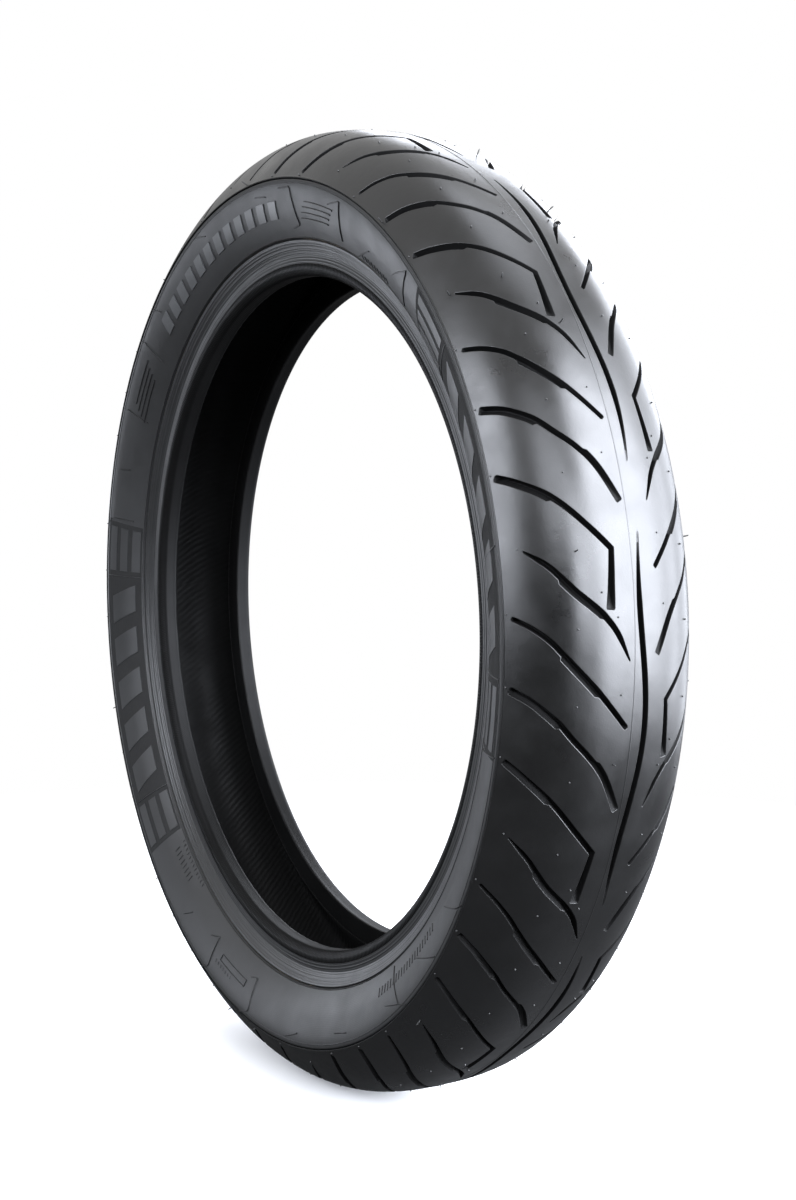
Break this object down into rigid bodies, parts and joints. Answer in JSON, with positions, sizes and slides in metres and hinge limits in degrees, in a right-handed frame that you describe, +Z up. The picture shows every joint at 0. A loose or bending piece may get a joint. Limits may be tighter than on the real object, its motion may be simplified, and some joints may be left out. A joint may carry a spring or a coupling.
{
  "type": "motorcycle tyre",
  "caption": "Tubeless road motorcycle tyre, round-crowned, with swept shoulder grooves, wavy middle grooves, plies, liner and wire beads.",
  "frame": {"origin": "centre of the tyre, on the axle line and in the mould's parting plane", "axes": "+Y along the axle to the rider's left, +X forward, +Z up"},
  "size_m": [0.6492, 0.1252, 0.6492],
  "materials": {
    "tread_rubber": "satin black tread rubber",
    "base_rubber": "matt black rubber",
    "sidewall_rubber": "satin dark grey moulded rubber",
    "bead_rubber": "satin black rubber with fine moulded lines",
    "liner_rubber": "matt black, cord pattern showing through",
    "cord_ply": "rubbered nylon cord",
    "breaker_ply": "rubbered aramid cord",
    "chafer_fabric": "rubbered woven strip",
    "wrap_fabric": "rubbered woven tape",
    "bead_wire": "bronze-plated steel wire bundle"
  },
  "bodies": {
    "root": {"tread_cap": "tread_rubber", "tread_base": "base_rubber", "breaker_ply_outer": "breaker_ply", "breaker_ply_inner": "breaker_ply", "shoulder_wedge_left": "base_rubber", "shoulder_wedge_right": "base_rubber", "carcass_ply_outer": "cord_ply", "carcass_ply_inner": "cord_ply", "inner_liner": "liner_rubber", "sidewall_left": "sidewall_rubber", "sidewall_right": "sidewall_rubber", "rim_strip_left": "bead_rubber", "rim_strip_right": "bead_rubber", "chafer_left": "chafer_fabric", "chafer_right": "chafer_fabric", "bead_filler_left": "base_rubber", "bead_filler_right": "base_rubber", "bead_wrap_left": "wrap_fabric", "bead_wrap_right": "wrap_fabric", "bead_core_left": "bead_wire", "bead_core_right": "bead_wire"}
  },
  "joints": []
}
